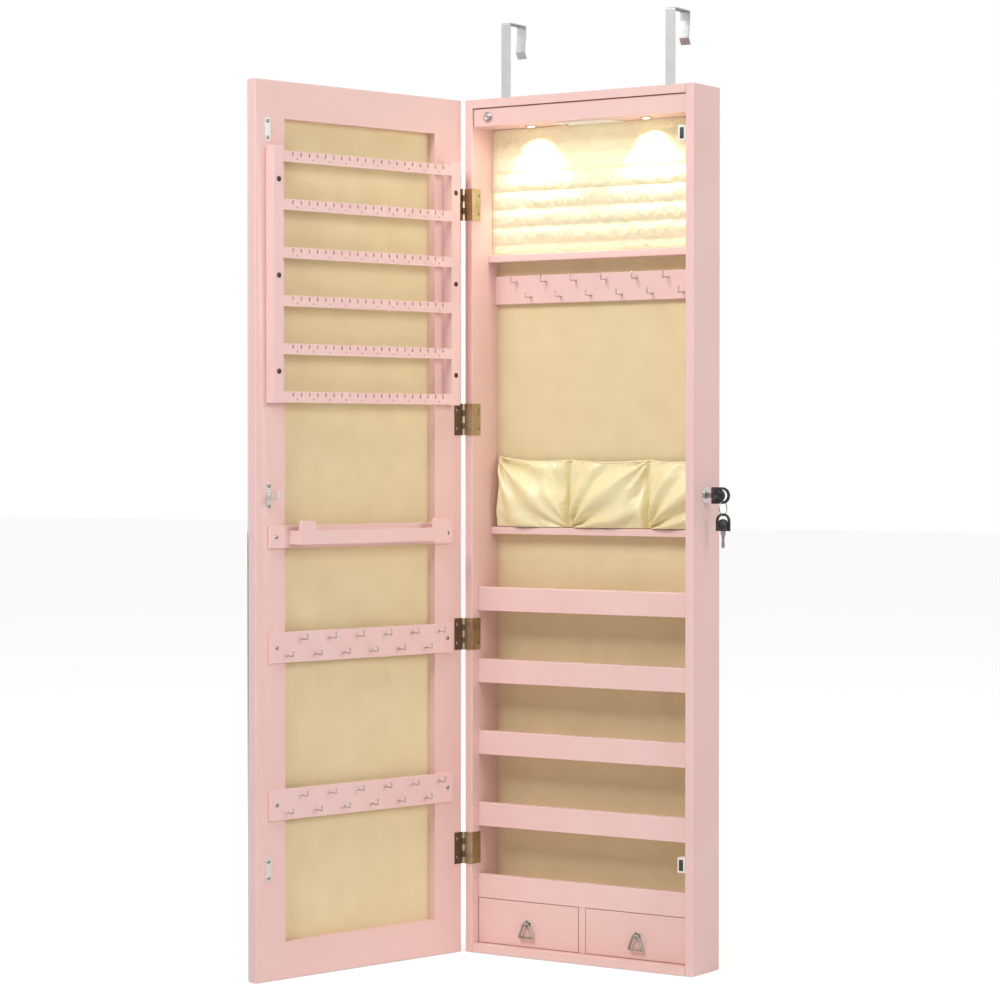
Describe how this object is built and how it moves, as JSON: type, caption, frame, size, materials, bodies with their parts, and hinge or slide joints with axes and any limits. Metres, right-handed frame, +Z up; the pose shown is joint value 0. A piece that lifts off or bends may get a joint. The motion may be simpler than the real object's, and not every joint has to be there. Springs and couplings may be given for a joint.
{
  "type": "jewelry mirror cabinet",
  "caption": "Shallow hanging jewelry cabinet with a full-length mirror door, ring cushion, hooks, earring rack, pouch, display tiers, drawers, spot lamps and a key lock.",
  "frame": {"origin": "middle of the carcass's rear plane at its bottom edge", "axes": "+Z up, the open front faces -Y, +X to the right of someone who faces the cabinet; the door is hinged at -X and stands open"},
  "size_m": [0.5136, 0.478, 1.316],
  "materials": {
    "pink_board": "satin paint",
    "pink_trim": "satin paint",
    "back_card": "raw board",
    "lining": "velvet",
    "cushion": "velvet, stitched",
    "satin": "satin",
    "mirror": "silvered glass",
    "chrome": "polished",
    "bronze": "antique bronze",
    "strap": "satin",
    "steel": "satin",
    "white_plastic": "satin",
    "black_plastic": "gloss",
    "lamp": "clear lens",
    "cell": "gloss",
    "wire": "matt"
  },
  "bodies": {
    "cabinet": {"side_panel_left": "pink_board", "side_panel_right": "pink_board", "top_panel": "pink_board", "bottom_panel": "pink_board", "back_board": "back_card", "back_lining": "lining", "light_fascia": "pink_board", "light_soffit": "pink_board", "spot_lamps": "lamp", "battery_case": "white_plastic", "battery_cells": "cell", "battery_cover": "white_plastic", "switch_housing": "chrome", "light_wires": "wire", "ring_cushion": "cushion", "ring_shelf": "pink_trim", "necklace_rail": "pink_trim", "necklace_hooks": "chrome", "pouch": "satin", "pouch_shelf": "pink_trim", "tier_shelf_1": "pink_trim", "tier_shelf_2": "pink_trim", "tier_shelf_3": "pink_trim", "tier_shelf_4": "pink_trim", "tier_shelf_5": "pink_trim", "drawer_divider": "pink_board", "magnetic_catches": "white_plastic", "lock_housing": "chrome", "hanging_brackets": "strap", "cabinet_hinge_leaves": "bronze", "cabinet_screws": "steel"},
    "door": {"door_rail_top": "pink_board", "door_rail_bottom": "pink_board", "door_stile_hinge": "pink_board", "door_stile_lock": "pink_board", "mirror_glass": "mirror", "door_lining": "lining", "earring_posts": "pink_trim", "earring_bars": "pink_trim", "bracelet_board": "pink_trim", "bracelet_bar": "pink_trim", "door_hook_rails": "pink_trim", "door_hooks": "chrome", "strike_plates": "chrome", "lock_keeper": "steel", "door_hinge_leaves": "bronze", "hinge_pins": "bronze", "door_screws": "steel"},
    "drawer_left": {"drawer_left": "pink_board", "pull_post_left": "steel"},
    "drawer_right": {"drawer_right": "pink_board", "pull_post_right": "steel"},
    "pull_left": {"pull_drop_left": "steel"},
    "pull_right": {"pull_drop_right": "steel"},
    "lock": {"lock_plug": "chrome", "lock_cam": "steel"},
    "key": {"key_in_lock": "black_plastic"},
    "key_ring": {"key_ring": "steel"},
    "spare_key": {"spare_key": "steel"},
    "switch": {"switch_button": "chrome"}
  },
  "joints": [
    {"name": "door_hinge", "type": "hinge", "parent": "cabinet", "child": "door", "pos_m": [-0.1876, -0.073, 0.6], "axis": [0, 0, -1], "range_deg": [-103, 67]},
    {"name": "drawer_slide_left", "type": "slide", "parent": "cabinet", "child": "drawer_left", "axis": [0, -1, 0], "range_m": [0, 0.04]},
    {"name": "drawer_slide_right", "type": "slide", "parent": "cabinet", "child": "drawer_right", "axis": [0, -1, 0], "range_m": [0, 0.04]},
    {"name": "pull_swing_left", "type": "hinge", "parent": "drawer_left", "child": "pull_left", "pos_m": [-0.0895, -0.062, 0.045], "axis": [-1, 0, 0], "range_deg": [0, 80]},
    {"name": "pull_swing_right", "type": "hinge", "parent": "drawer_right", "child": "pull_right", "pos_m": [0.0895, -0.062, 0.045], "axis": [-1, 0, 0], "range_deg": [0, 80]},
    {"name": "lock_turn", "type": "hinge", "parent": "cabinet", "child": "lock", "pos_m": [0.1876, -0.0392, 0.6472], "axis": [1, 0, 0], "range_deg": [0, 90]},
    {"name": "key_slide", "type": "slide", "parent": "lock", "child": "key", "axis": [1, 0, 0], "range_m": [0, 0.03]},
    {"name": "key_ring_turn", "type": "hinge", "parent": "key", "child": "key_ring", "pos_m": [0.213, -0.0392, 0.6376], "axis": [1, 0, 0], "range_deg": [-90, 0]},
    {"name": "spare_key_swing", "type": "hinge", "parent": "key_ring", "child": "spare_key", "pos_m": [0.213, -0.0392, 0.61975], "axis": [0, 1, 0], "range_deg": [-12, 20]},
    {"name": "switch_press", "type": "slide", "parent": "cabinet", "child": "switch", "axis": [0, 1, 0], "range_m": [0, 0.002], "stiffness_N_per_m": 200, "springref_m": -0.002}
  ],
  "couplings": [
    {"joint": "key_ring_turn", "follows": "lock_turn", "ratio": -1}
  ]
}
